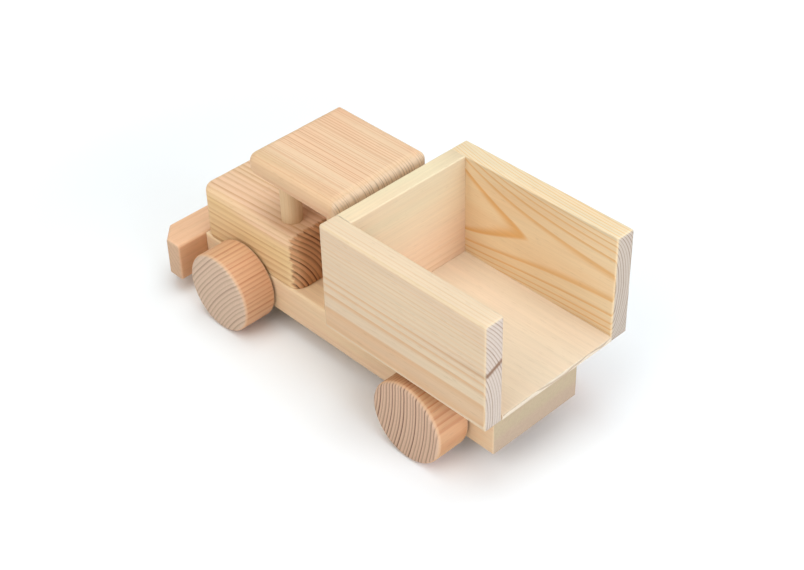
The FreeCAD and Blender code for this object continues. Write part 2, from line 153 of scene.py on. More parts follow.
# %% [markdown]
# ## Surfaces from arrays
#
# Every new piece is a stack of closed rings of points, computed as one numpy array of
# rows and columns. Joining each point to its neighbours gives a closed skin, with a pole in
# the middle of each end. If the rings happen to run the wrong way, the skin's volume
# comes out negative, and its faces are turned round so that they point outwards.

# %% Rings to mesh
def skin_volume(points, faces):
    """Volume inside closed faces: the sum of corner a . (corner b x corner c) / 6 over fans."""
    a = points[faces[:, 0]]
    total = 0.0
    for second in range(1, faces.shape[1] - 1):
        b, c = points[faces[:, second]], points[faces[:, second + 1]]
        total += np.einsum("ij,ij->", a, np.cross(b, c)) / 6.0
    return total


def skin(name, rings, eased):
    """A closed mesh through rings (rows, columns, 3), with a pole at the first and last row.

    Quad (i, j) joins points (i, j), (i, j + 1), (i + 1, j + 1) and (i + 1, j); columns wrap.
    eased (rows, columns) is kept as a point attribute: 1 where sanding rounded the wood.
    """
    rows, columns = rings.shape[:2]
    index = np.arange(rows * columns).reshape(rows, columns)
    beside = np.roll(index, -1, axis=1)
    quads = np.stack([index[:-1], beside[:-1], beside[1:], index[1:]], axis=-1).reshape(-1, 4)
    pole_a = np.full(columns, rows * columns)
    pole_b = pole_a + 1
    fans = np.concatenate([
        np.stack([beside[0], index[0], pole_a], axis=-1),
        np.stack([index[-1], beside[-1], pole_b], axis=-1),
    ])
    poles = np.stack([rings[0].mean(axis=0), rings[-1].mean(axis=0)])
    points = np.concatenate([rings.reshape(-1, 3), poles])
    if skin_volume(points, quads) + skin_volume(points, fans) < 0:
        quads, fans = quads[:, ::-1], fans[:, ::-1]
    mesh = bpy.data.meshes.new(name)
    mesh.from_pydata(points.tolist(), [], quads.tolist() + fans.tolist())
    mesh.polygons.foreach_set("use_smooth", np.ones(len(mesh.polygons), bool))
    sanded = mesh.attributes.new("eased", "FLOAT", "POINT")
    sanded.data.foreach_set("value", np.append(eased.reshape(-1), [0.0, 0.0]).astype(np.float32))
    mesh.update()
    piece = bpy.data.objects.new(name, mesh)
    scene.collection.objects.link(piece)
    print(f"{name}: {len(mesh.polygons)} faces")
    return piece


# %% [markdown]
# A sanded board is an outline carried through its thickness. Near each face the outline
# shrinks along a quarter circle, which rounds the edges, and the corners of the outline
# have radii of their own. No two edges of a hand-sanded toy are quite alike, so a gentle
# wave takes a little more off the rounded edges here and there, always inwards.

# %% Outline of a board
SHARPEST = 0.15 * MM


def outline(corners, radii, insets, arc_steps, side_steps):
    """Closed outlines (rows, columns, 2) of a convex polygon, moved in and rounded.

    Each side i (from corner i to i + 1) moves in by insets[row, i]. A corner's new place p
    solves normal_before . p = d_before and normal_after . p = d_after. Its arc has centre
    p - r (normal_before + normal_after) / (1 + normal_before . normal_after).
    """
    along = np.roll(corners, -1, axis=0) - corners
    along /= np.linalg.norm(along, axis=1, keepdims=True)
    after = np.stack([along[:, 1], -along[:, 0]], axis=1)
    before = np.roll(after, 1, axis=0)
    cross = before[:, 0] * after[:, 1] - before[:, 1] * after[:, 0]
    dot = (before * after).sum(axis=1)
    d_after = (after * corners).sum(axis=1) - insets
    d_before = (before * corners).sum(axis=1) - np.roll(insets, 1, axis=1)
    moved = np.stack([
        (d_before * after[:, 1] - d_after * before[:, 1]) / cross,
        (before[:, 0] * d_after - after[:, 0] * d_before) / cross,
    ], axis=-1)
    shrink = (insets + np.roll(insets, 1, axis=1)) / 2
    radius = np.maximum(np.asarray(radii) - shrink, SHARPEST)[..., None]
    centre = moved - radius * (before + after) / (1 + dot)[:, None]
    turn = np.linspace(0.0, 1.0, arc_steps)
    first_angle, swing = np.arctan2(before[:, 1], before[:, 0]), np.arctan2(cross, dot)
    angle = first_angle[:, None] + swing[:, None] * turn
    spokes = np.stack([np.cos(angle), np.sin(angle)], axis=-1)
    arcs = centre[:, :, None] + radius[:, :, None] * spokes
    last, following = arcs[:, :, -1:], np.roll(arcs, -1, axis=1)[:, :, :1]
    share = (np.arange(1, side_steps + 1) / (side_steps + 1))[:, None]
    sides = last + (following - last) * share
    return np.concatenate([arcs, sides], axis=2).reshape(len(insets), -1, 2)


# %% Sanded board
SHORT_WAVE, LONG_WAVE = 9 * MM, 40 * MM
CAP_RINGS = np.array([0.35, 0.75, 0.95, 0.985])


def hand_wave(points, seed):
    """A smooth wave from 0 to 1: the mean of four sines of wavelengths from 9 to 40 mm."""
    pick = np.random.default_rng(seed)
    directions = pick.normal(size=(4, 3))
    directions /= np.linalg.norm(directions, axis=1, keepdims=True)
    lengths = pick.uniform(SHORT_WAVE, LONG_WAVE, 4)
    phases = pick.uniform(0, 2 * np.pi, 4)
    waves = np.sin(points @ (directions / lengths[:, None] * 2 * np.pi).T + phases)
    return 0.5 + 0.5 * waves.mean(axis=-1)


def rings_normals(rings):
    """Outward unit normals of rings: the cross product of their row and column differences."""
    across = np.roll(rings, -1, axis=1) - np.roll(rings, 1, axis=1)
    along = np.gradient(rings, axis=0)
    normals = np.cross(across, along)
    middle = rings.reshape(-1, 3).mean(axis=0)
    outwards = np.einsum("ijk,ijk->", normals, rings - middle)
    normals *= np.sign(outwards)
    return normals / np.maximum(np.linalg.norm(normals, axis=-1, keepdims=True), 1e-12)


def sanded_board(name, corners, radii, low, high, low_ease, high_ease, lift=None,
                 wear=0.12 * MM, seed=1, arc_steps=7, side_steps=15, round_steps=6):
    """A board with rounded edges, as rings from its low face to its high face.

    Edge i of the outline is rounded by low_ease[i] and high_ease[i]: at angle t of the
    quarter circle the outline is inset by ease (1 - sin t), and ease (1 - cos t) from the face.
    Rings scaled by CAP_RINGS close each face. lift turns (outline u, outline v, height) into
    x, y, z. Sanding then takes off wear times hand_wave, along the normal, where eased is 1.
    """
    corners = np.asarray(corners, float)
    count = len(corners)
    low_ease, high_ease = np.asarray(low_ease, float), np.asarray(high_ease, float)
    t = np.linspace(0, np.pi / 2, round_steps)
    inward, climb = 1 - np.sin(t), 1 - np.cos(t)
    middle = np.linspace(0, 1, 5)[1:-1]
    insets = np.concatenate([
        inward[:, None] * low_ease,
        np.zeros((len(middle), count)),
        inward[::-1, None] * high_ease,
    ])
    flat = outline(corners, radii, insets, arc_steps, side_steps)
    turn = np.linspace(0, 1, arc_steps)

    def by_column(ease):
        """Each side's ease at its columns, blended round the corner before it."""
        arcs = np.roll(ease, 1)[:, None] * (1 - turn) + ease[:, None] * turn
        return np.concatenate([arcs, np.repeat(ease[:, None], side_steps, axis=1)], axis=1).ravel()

    low_rise, high_rise = by_column(low_ease), by_column(high_ease)
    bottom = low + climb[:, None] * low_rise
    top = high - climb[::-1, None] * high_rise
    between = bottom[-1] + (top[0] - bottom[-1]) * middle[:, None]
    height = np.concatenate([bottom, between, top])
    rounding = np.concatenate([np.sin(2 * t), np.zeros(len(middle)), np.sin(2 * t)])
    corner_round = np.concatenate([np.sin(np.pi * turn), np.zeros(side_steps)])
    corner_round = np.tile(corner_round, count)
    eased = np.maximum(rounding[:, None], corner_round * (insets.sum(axis=1) == 0)[:, None])

    scale = CAP_RINGS[:, None, None]
    centre = flat[0].mean(axis=0)
    low_cap = centre + (flat[0] - centre) * scale
    high_cap = centre + (flat[-1] - centre) * scale[::-1]
    flat = np.concatenate([low_cap, flat, high_cap])
    level = np.ones(low_cap.shape[:2])
    height = np.concatenate([level * low, height, level * high])
    eased = np.pad(eased, ((len(scale), len(scale)), (0, 0)))
    rings = np.concatenate([flat, height[..., None]], axis=-1)
    if lift is not None:
        rings = rings[..., lift]
    rings = rings - rings_normals(rings) * (wear * eased * hand_wave(rings, seed))[..., None]
    return skin(name, rings, eased)


def plan_corners(u0, u1, v0, v1):
    """The four corners of a rectangle, anticlockwise from its lowest."""
    return [(u0, v0), (u1, v0), (u1, v1), (u0, v1)]


# %% [markdown]
# Wheels and posts are turned on a lathe: a profile of radii and places along the axle is
# carried round in a circle. The rim is rounded, and the tread is crowned by a hair.

# %% Turned piece
FACE_RINGS = np.array([0.25, 0.6, 0.85, 0.97])
CROWN = 0.12 * MM


def turned(name, centre, axis, profile, eased, sides=120):
    """Rings (profile row, angle): centre + along axis + radius (cos a, sin a) across it."""
    profile = np.asarray(profile, float)
    angle = np.linspace(0, 2 * np.pi, sides, endpoint=False)
    across = [k for k in range(3) if k != axis]
    rings = np.zeros((len(profile), sides, 3))
    rings[..., across[0]] = profile[:, :1] * np.cos(angle)
    rings[..., across[1]] = profile[:, :1] * np.sin(angle)
    rings[..., axis] = profile[:, 1:]
    rings += np.asarray(centre)
    return skin(name, rings, np.repeat(np.asarray(eased, float)[:, None], sides, axis=1))


def wheel_profile(radius, half_width, rim):
    """From one face's middle out over the rounded rim, across the tread and back in.

    The rim is a quarter circle of radius rim. At w along the axle the tread's radius is
    radius - CROWN (w / half_width)^2.
    """
    t = np.linspace(0, np.pi / 2, 8)
    faces = FACE_RINGS * (radius - rim)
    outer = np.stack([radius - rim + rim * np.sin(t), half_width - rim + rim * np.cos(t)], axis=1)
    face = np.stack([faces, np.full(len(faces), half_width)], axis=1)
    tread_along = np.linspace(half_width - rim, -(half_width - rim), 9)[1:-1]
    crown = CROWN * (tread_along / half_width) ** 2
    tread = np.stack([radius - crown, tread_along], axis=1)
    mirrored = np.concatenate([face, outer])[::-1] * [1, -1]
    profile = np.concatenate([face, outer, tread, mirrored])
    soft = np.sin(2 * t) ** 0.5
    flat_face, flat_tread = np.zeros(len(faces)), np.zeros(len(tread))
    eased = np.concatenate([flat_face, soft, flat_tread, soft[::-1], flat_face])
    return profile, eased


# %% [markdown]
# ## Boards of the bed
#
# The bed is a box open at the rear: two pine sides, a front board between them and a thin
# plywood floor. Their outer edges are rounded with sandpaper by a good millimetre. The
# inner ones stay sharper, so that the boards meet in a fine line where they are joined.

# %% Bed boards
def corners_of(node_name):
    """The node's box as two arrays: its lowest and highest corner."""
    low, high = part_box(node_name)
    return np.array(low), np.array(high)


EDGE, BOTTOM_EDGE, INNER_EDGE = 1.3 * MM, 0.5 * MM, 0.45 * MM
FRONT_INNER_EDGE, BUTTED_EDGE, PLY_EDGE = 0.8 * MM, 0.05 * MM, 0.2 * MM
pieces = {}

outer_ease = [BOTTOM_EDGE, EDGE, EDGE, EDGE]
inner_ease = [BOTTOM_EDGE, EDGE, INNER_EDGE, EDGE]
for hand, eases, seed in (("left", (inner_ease, outer_ease), 3),
                          ("right", (outer_ease, inner_ease), 4)):
    node_name = f"bed_wall_{hand}"
    low, high = corners_of(node_name)
    pieces[node_name] = sanded_board(
        f"side_board_{hand}", plan_corners(low[0], high[0], low[2], high[2]),
        [BOTTOM_EDGE, BOTTOM_EDGE, EDGE, EDGE], low[1], high[1], *eases, lift=[0, 2, 1], seed=seed)

low, high = corners_of("bed_wall_front")
pieces["bed_wall_front"] = sanded_board(
    "front_board", plan_corners(low[0], high[0], low[2], high[2]),
    [BOTTOM_EDGE, BOTTOM_EDGE, EDGE, FRONT_INNER_EDGE], low[1], high[1],
    [BUTTED_EDGE] * 4, [BUTTED_EDGE] * 4, lift=[0, 2, 1], wear=0.04 * MM, seed=5)


def flat_board(node_name, name, *roundings, **sanding):
    """A board that lies flat and fills its node's box.

    roundings are its corner radii, low ease and high ease: each is one number or four.
    """
    low, high = corners_of(node_name)
    radii, low_ease, high_ease = (np.broadcast_to(amount, 4) for amount in roundings)
    pieces[node_name] = sanded_board(name, plan_corners(low[0], high[0], low[1], high[1]), radii,
                                     low[2], high[2], low_ease, high_ease, **sanding)


flat_board("bed_floor", "floor_sheet", PLY_EDGE, PLY_EDGE, PLY_EDGE, wear=0.0, seed=6)

# %% [markdown]
# ## Cab and bumper
#
# The roof is a thick board with bullnosed ends and one corner rubbed rounder than the
# others. The hood is one squarish block with big rounded uprights. The bumper is a plank
# across the front with its two front corners sawn off.

# %% Roof, hood and bumper
ROOF_CORNERS = [2.6 * MM, 2.6 * MM, 6.0 * MM, 3.2 * MM]
ROOF_SIDE, ROOF_END = 4.0 * MM, 5.2 * MM
ROOF_EASE = [ROOF_SIDE, ROOF_END, ROOF_SIDE, ROOF_END]
flat_board("roof", "roof_board", ROOF_CORNERS, ROOF_EASE, ROOF_EASE, seed=7, arc_steps=9,
           round_steps=9)

HOOD_CORNER, HOOD_FOOT, HOOD_TOP = 7.0 * MM, 0.5 * MM, 4.0 * MM
flat_board("hood_block", "hood", HOOD_CORNER, HOOD_FOOT, HOOD_TOP, seed=8, arc_steps=11,
           round_steps=8)

CUT, BUMPER_EDGE = 9.0 * MM, 1.5 * MM
low, high = corners_of("bumper")
bumper_plan = [
    (low[0], low[1]), (high[0] - CUT, low[1]), (high[0], low[1] + CUT),
    (high[0], high[1] - CUT), (high[0] - CUT, high[1]), (low[0], high[1]),
]
pieces["bumper"] = sanded_board(
    "bumper_bar", bumper_plan, [BUMPER_EDGE] * 6, low[2], high[2],
    [BUMPER_EDGE] * 6, [BUMPER_EDGE] * 6, seed=9)

# %% [markdown]
# The chassis is one long plank that carries everything. Its edges are all alike, and its
# sides have more steps than the other boards', for the hand's wave.

# %% Chassis
CHASSIS_EDGE = 1.0 * MM
flat_board("chassis", "chassis_plank", CHASSIS_EDGE, CHASSIS_EDGE, CHASSIS_EDGE, seed=10,
           side_steps=31)

# %% [markdown]
# ## Wheels and posts
#
# The four wheels are plain pine discs on hidden axles. They are sliced from a thick rod, so
# their round faces show end grain, and a turned profile gives both faces and the rim at once.

# %% Wheels
RIM = 2.0 * MM
ends_and_hands = [(end, hand) for end in ("front", "rear") for hand in ("left", "right")]
for end, hand in ends_and_hands:
    node_name = f"wheel_{end}_{hand}"
    low, high = corners_of(node_name)
    radius, half_width = (high[0] - low[0]) / 2, (high[1] - low[1]) / 2
    profile, eased = wheel_profile(radius, half_width, RIM)
    pieces[node_name] = turned(f"disc_{end}_{hand}", (low + high) / 2, 1, profile, eased)

# %% [markdown]
# The cab's roof stands on four lengths of dowel. Bought dowel is never quite even, so each
# post's radius swells and narrows along it by a hair, as a cosine.

# %% Posts
THINNING, WAVES = 0.06 * MM, 7.0
for end, hand in ends_and_hands:
    node_name = f"roof_post_{end}_{hand}"
    low, high = corners_of(node_name)
    radius, half = (high[0] - low[0]) / 2, (high[2] - low[2]) / 2
    height = np.linspace(-half, half, 25)
    swell = radius - THINNING * (0.5 + 0.5 * np.cos(height / half * WAVES))
    profile = np.stack([swell, height], axis=1)
    pieces[node_name] = turned(f"post_{end}_{hand}", (low + high) / 2, 2, profile,
                               np.zeros(len(profile)), sides=48)

# %% [markdown]
# ## Pine from its growth rings
#
# Pine is drawn in the solid. Each block is cut from a trunk whose pith is a line somewhere
# beside it. The distance from that line, divided by the width of a year's growth, gives
# the ring at every point of the block. Pale earlywood darkens slowly into a narrow band of
# latewood and then starts again, abruptly. A board sawn near-level with its rings shows
# wide bands, one sawn across them shows fine straight lines, and its end shows arcs, all
# from the same formula.

# %% Node helpers
def node(tree, kind, inputs=None, **settings):
    """Adds a node. An input given a socket is linked, and one given a value is set."""
    made = tree.nodes.new(kind)
    for key, value in settings.items():
        setattr(made, key, value)
    for key, value in (inputs or {}).items():
        if isinstance(value, bpy.types.NodeSocket):
            tree.links.new(value, made.inputs[key])
        else:
            made.inputs[key].default_value = value
    return made


def math_node(tree, operation, *values):
    """One step of arithmetic, as a socket."""
    return node(tree, "ShaderNodeMath", dict(enumerate(values)), operation=operation).outputs[0]


def vector_node(tree, operation, *values, output=0):
    """One step of vector arithmetic, as a socket."""
    return node(tree, "ShaderNodeVectorMath", dict(enumerate(values)),
                operation=operation).outputs[output]


def smooth_step(tree, value, low, high, start=0.0, end=1.0):
    """Runs smoothly from start to end as value goes from low to high."""
    inputs = {"Value": value, "From Min": low, "From Max": high, "To Min": start, "To Max": end}
    return node(tree, "ShaderNodeMapRange", inputs, interpolation_type="SMOOTHSTEP").outputs[0]


def mix_colour(tree, factor, first, second, blend="MIX"):
    """Blends two colours."""
    made = node(tree, "ShaderNodeMix", {0: factor, 6: first, 7: second},
                data_type="RGBA", blend_type=blend)
    return made.outputs[2]


def noise(tree, vector, scale, detail=2.0, roughness=0.5):
    """Three-dimensional noise, from 0 to 1."""
    inputs = {"Vector": vector, "Scale": scale, "Detail": detail, "Roughness": roughness}
    return node(tree, "ShaderNodeTexNoise", inputs, noise_dimensions="3D").outputs[0]


def new_group(name, inputs, outputs):
    """A shader node group with named sockets: each is (name, kind, default or None)."""
    tree = bpy.data.node_groups.new(name, "ShaderNodeTree")
    for label, kind, default in inputs:
        socket = tree.interface.new_socket(label, in_out="INPUT", socket_type=f"NodeSocket{kind}")
        if default is not None:
            socket.default_value = default
    for label, kind in outputs:
        tree.interface.new_socket(label, in_out="OUTPUT", socket_type=f"NodeSocket{kind}")
    return tree, tree.nodes.new("NodeGroupInput").outputs, tree.nodes.new("NodeGroupOutput").inputs


# %% [markdown]
# The first group counts the years outwards from the pith. Its input point has the grain
# along X and the pith on the X axis. A trunk is a little wavy, so noise bends the rings, and
# a second noise makes some years wider than others. A shift moves all rings out or in.

# %% Group: trunk rings
trunk_tree, ask, give = new_group("trunk rings", [
    ("Point", "Vector", None),
    ("Ring Width", "Float", 1.5 * MM),
    ("Uneven Years", "Float", 0.5),
    ("Wobble", "Float", 0.6 * MM),
    ("Shift", "Float", 0.0),
], [("Years", "Float")])

BEND_STRETCH, BEND_SCALE, FAT_RATE = (0.16, 1.0, 1.0), 42.0, 0.37


def slow_bend(tree, point, amount):
    """Noise drawn out along the grain, from -amount / 2 to amount / 2."""
    slow = vector_node(tree, "MULTIPLY", point, BEND_STRETCH)
    centred = math_node(tree, "SUBTRACT", noise(tree, slow, BEND_SCALE, roughness=0.45), 0.5)
    return math_node(tree, "MULTIPLY", centred, amount)


split = node(trunk_tree, "ShaderNodeSeparateXYZ", {0: ask["Point"]})
across = node(trunk_tree, "ShaderNodeCombineXYZ", {1: split.outputs[1], 2: split.outputs[2]})
distance = vector_node(trunk_tree, "LENGTH", across.outputs[0], output=1)
bend = slow_bend(trunk_tree, ask["Point"], ask["Wobble"])
grown = math_node(trunk_tree, "ADD", math_node(trunk_tree, "ADD", distance, bend), ask["Shift"])
years = math_node(trunk_tree, "DIVIDE", grown, ask["Ring Width"])
fat_years = node(trunk_tree, "ShaderNodeTexNoise",
                 {"W": math_node(trunk_tree, "MULTIPLY", years, FAT_RATE), "Scale": 1.0,
                  "Detail": 1.0}, noise_dimensions="1D").outputs[0]
fat_years = math_node(trunk_tree, "MULTIPLY", math_node(trunk_tree, "SUBTRACT", fat_years, 0.5),
                      ask["Uneven Years"])
years = math_node(trunk_tree, "MULTIPLY_ADD", fat_years, 2.0, years)
trunk_tree.links.new(years, give["Years"])
print("trunk rings group:", len(trunk_tree.nodes), "nodes")

# %% [markdown]
# The right side of the bed was sawn level with its rings, so they show on it as flames. The
# rings of a plain cone would end in round tongues, and real flames are pointed, because a
# trunk swells unevenly, so this board counts its years by a formula of its own. With X
# running back from the front board, Y into the wood and Z up from the middle of the
# flames, all in millimetres: sink = 3.6 (1 - exp(-x / 18)) lets their middle drop a little,
# half = sqrt((z + sink)^2 + 2.5) rounds the tips,
# reach = 13 half + 0.02 half^3 + 480 (1 - exp(-x / 36)), and
# years = 5.92 + 0.0021 reach + 0.0000029 reach^2 + y / 1.6, plus the trunk's slow bend.

# %% Group: flame rings
flame_tree, ask, give = new_group("flame rings", [
    ("Point", "Vector", None),
    ("Wobble", "Float", 0.45),
], [("Years", "Float")])

SINK, SINK_OVER, TIP, SPREAD, FLARE = 3.6, 18.0, 2.5, 13.0, 0.02
RUN, RUN_OVER = 480.0, 36.0
FIRST_YEAR, YEAR_RATE, YEAR_CURVE, YEAR_DEPTH = 5.92, 0.0021, 2.9e-6, 1.6


def levelling(along, size, over):
    """size (1 - exp(-along / over)): rises quickly from 0 and then levels off at size."""
    dying = math_node(flame_tree, "EXPONENT", math_node(flame_tree, "DIVIDE", along, -over))
    return math_node(flame_tree, "MULTIPLY_ADD", dying, -size, size)


millimetres = vector_node(flame_tree, "MULTIPLY", ask["Point"], (1 / MM, 1 / MM, 1 / MM))
back, deep, up = node(flame_tree, "ShaderNodeSeparateXYZ", {0: millimetres}).outputs
height = math_node(flame_tree, "ADD", up, levelling(back, SINK, SINK_OVER))
squared = math_node(flame_tree, "MULTIPLY", height, height)
half = math_node(flame_tree, "SQRT", math_node(flame_tree, "ADD", squared, TIP))
spread = math_node(flame_tree, "MULTIPLY", half, SPREAD)
flare = math_node(flame_tree, "MULTIPLY", math_node(flame_tree, "POWER", half, 3.0), FLARE)
reach = math_node(flame_tree, "ADD", math_node(flame_tree, "ADD", spread, flare),
                  levelling(back, RUN, RUN_OVER))
curve = math_node(flame_tree, "MULTIPLY_ADD", reach, YEAR_CURVE, YEAR_RATE)
years = math_node(flame_tree, "MULTIPLY_ADD", reach, curve, FIRST_YEAR)
years = math_node(flame_tree, "ADD", years, math_node(flame_tree, "DIVIDE", deep, YEAR_DEPTH))
years = math_node(flame_tree, "ADD", years, slow_bend(flame_tree, ask["Point"], ask["Wobble"]))
flame_tree.links.new(years, give["Years"])
print("flame rings group:", len(flame_tree.nodes), "nodes")

# %% [markdown]
# The next group turns the count of years into wood: within a year, pale earlywood darkens
# slowly into latewood and then starts again. Each year also gets a chance number of its
# own, so that some lines are darker than others.

# %% Group: season
season_tree, ask, give = new_group("season", [
    ("Years", "Float", 0.0),
    ("Latewood Share", "Float", 0.45),
], [("Latewood", "Float"), ("Year", "Float")])

DARKEST = 0.9
season = math_node(season_tree, "FRACT", ask["Years"])
begins = math_node(season_tree, "SUBTRACT", DARKEST, ask["Latewood Share"])
darkening = smooth_step(season_tree, season, begins, DARKEST)
restart = smooth_step(season_tree, season, DARKEST, 1.0, 1.0, 0.0)
this_year = math_node(season_tree, "FLOOR", ask["Years"])
chance = node(season_tree, "ShaderNodeTexWhiteNoise", {"W": this_year},
              noise_dimensions="1D").outputs[0]
season_tree.links.new(math_node(season_tree, "MULTIPLY", darkening, restart), give["Latewood"])
season_tree.links.new(chance, give["Year"])
print("season group:", len(season_tree.nodes), "nodes")

# %% [markdown]
# Another group adds what the eye sees between the rings: long silky fibres, small dark
# resin canals and broad patches where the wood is pinker. Each is noise stretched along
# the grain by a different amount.

# %% Group: fibres
fibre_tree, ask, give = new_group("fibres", [
    ("Point", "Vector", None),
], [("Silk", "Float"), ("Canals", "Float"), ("Patches", "Float")])


def grain_noise(along, across, detail, roughness=0.5):
    """Noise with so many waves to the metre along the grain, and across it."""
    stretched = vector_node(fibre_tree, "MULTIPLY", ask["Point"], (along, across, across))
    return noise(fibre_tree, stretched, 1.0, detail, roughness)


CANAL_STEP, PATCH_STEP = (0.70, 0.80), (0.36, 0.66)
silk = grain_noise(22.0, 900.0, 3.0, 0.6)
canals = smooth_step(fibre_tree, grain_noise(190.0, 2300.0, 0.0), *CANAL_STEP)
patches = smooth_step(fibre_tree, grain_noise(14.0, 75.0, 1.0), *PATCH_STEP)
for label, socket in (("Silk", silk), ("Canals", canals), ("Patches", patches)):
    fibre_tree.links.new(socket, give[label])
print("fibres group:", len(fibre_tree.nodes), "nodes")

# %% [markdown]
# This group tells end grain from long grain: it compares the surface's direction with
# the grain's. Cut fibres drink in light, so end grain is greyer and its latewood darker.

# %% Group: end grain
end_tree, ask, give = new_group("end grain", [
    ("Normal", "Vector", None),
    ("Grain", "Vector", (1.0, 0.0, 0.0)),
], [("Mask", "Float")])

END_STEP = (0.45, 0.92)
facing = vector_node(end_tree, "DOT_PRODUCT", ask["Normal"], ask["Grain"], output=1)
cut = smooth_step(end_tree, math_node(end_tree, "ABSOLUTE", facing), *END_STEP)
end_tree.links.new(cut, give["Mask"])
print("end grain group:", len(end_tree.nodes), "nodes")

# %% [markdown]
# The last group puts pine together: earlywood, latewood, pink patches, end grain and the
# lighter look of edges that sandpaper has rubbed.

# %% Group: pine
PINE_COLOURS = ["Earlywood", "Latewood", "Patch", "End Wood", "End Lines", "Edge"]
FAINTEST_YEAR, CANAL_DARK = 0.45, 0.16
SILK_STEP, SILK_SHADE = (0.25, 0.75), (0.95, 1.03)
PLAIN_DULL, LINE_DULL, END_DULL, SILK_DULL = 0.62, -0.10, 0.12, 0.08
LINE_RISE, SILK_RISE, CANAL_SINK = 0.6, 0.5, 0.5
pine_tree, ask, give = new_group("pine", [
    ("Point", "Vector", None),
    ("Normal", "Vector", None),
    ("Grain", "Vector", (1.0, 0.0, 0.0)),
    ("Years", "Float", 0.0),
    ("Latewood Share", "Float", 0.45),
    ("Line Strength", "Float", 0.6),
    ("Patch Amount", "Float", 0.5),
    ("Edge Light", "Float", 0.35),
    ("End Line Strength", "Float", 0.8),
    ("Scorch And Shade", "Float", 0.0),
    *[(label, "Color", WHITE) for label in PINE_COLOURS],
], [("Color", "Color"), ("Roughness", "Float"), ("Height", "Float"), ("End", "Float")])


def times(first, second):
    """A product in the pine group."""
    return math_node(pine_tree, "MULTIPLY", first, second)


ringed = node(pine_tree, "ShaderNodeGroup", {"Years": ask["Years"],
                                             "Latewood Share": ask["Latewood Share"]},
              node_tree=season_tree)
fibres = node(pine_tree, "ShaderNodeGroup", {"Point": ask["Point"]}, node_tree=fibre_tree)
ends = node(pine_tree, "ShaderNodeGroup", {"Normal": ask["Normal"], "Grain": ask["Grain"]},
            node_tree=end_tree)
silk, canals, patches = fibres.outputs
year = smooth_step(pine_tree, ringed.outputs["Year"], 0.0, 1.0, FAINTEST_YEAR, 1.0)
lines = times(ringed.outputs["Latewood"], year)
rubbed = node(pine_tree, "ShaderNodeAttribute", attribute_name="eased").outputs["Fac"]

patched = mix_colour(pine_tree, times(patches, ask["Patch Amount"]), ask["Earlywood"],
                     ask["Patch"])
long_wood = mix_colour(pine_tree, times(lines, ask["Line Strength"]), patched, ask["Latewood"])
long_wood = mix_colour(pine_tree, times(rubbed, ask["Edge Light"]), long_wood, ask["Edge"])
end_wood = mix_colour(pine_tree, times(lines, ask["End Line Strength"]), ask["End Wood"],
                      ask["End Lines"])
end = math_node(pine_tree, "MAXIMUM", ends.outputs["Mask"], ask["Scorch And Shade"])
wood = mix_colour(pine_tree, end, long_wood, end_wood)
silky = smooth_step(pine_tree, silk, *SILK_STEP, *SILK_SHADE)
fine = node(pine_tree, "ShaderNodeCombineColor", {0: silky, 1: silky, 2: silky}).outputs[0]
wood = mix_colour(pine_tree, 1.0, wood, fine, "MULTIPLY")
wood = mix_colour(pine_tree, times(canals, CANAL_DARK), wood, ask["End Lines"])

dull = math_node(pine_tree, "MULTIPLY_ADD", lines, LINE_DULL, PLAIN_DULL)
dull = math_node(pine_tree, "MULTIPLY_ADD", ends.outputs["Mask"], END_DULL, dull)
dull = math_node(pine_tree, "MULTIPLY_ADD", silk, SILK_DULL, dull)
relief = math_node(pine_tree, "MULTIPLY_ADD", silk, SILK_RISE, times(lines, LINE_RISE))
relief = math_node(pine_tree, "SUBTRACT", relief, times(canals, CANAL_SINK))
for label, socket in (("Color", wood), ("Roughness", dull), ("Height", relief),
                      ("End", ends.outputs["Mask"])):
    pine_tree.links.new(socket, give[label])
print("pine group:", len(pine_tree.nodes), "nodes")

# %% [markdown]
# ## One finish for each board
#
# Every block was cut from its own plank, so each gets its own pith line, ring width and
# colours. Colours are given as they look on a screen and are turned to linear light, which
# is what the shader mixes.

# %% Pine finish
def tone(red, green, blue):
    """A screen colour from 0 to 255 as linear light: ((c + 0.055) / 1.055) ^ 2.4."""
    screen = np.array([red, green, blue]) / 255.0
    linear = np.where(screen <= 0.04045, screen / 12.92, ((screen + 0.055) / 1.055) ** 2.4)
    return (*linear.tolist(), 1.0)


SHEEN, BUMP_DEPTH = 0.28, 0.12 * MM
TURN = {"X": (0.0, 0.0, 0.0), "Y": (0.0, 0.0, np.pi / 2), "Z": (0.0, -np.pi / 2, 0.0)}
ALONG = {"X": (1.0, 0.0, 0.0), "Y": (0.0, 1.0, 0.0), "Z": (0.0, 0.0, 1.0)}


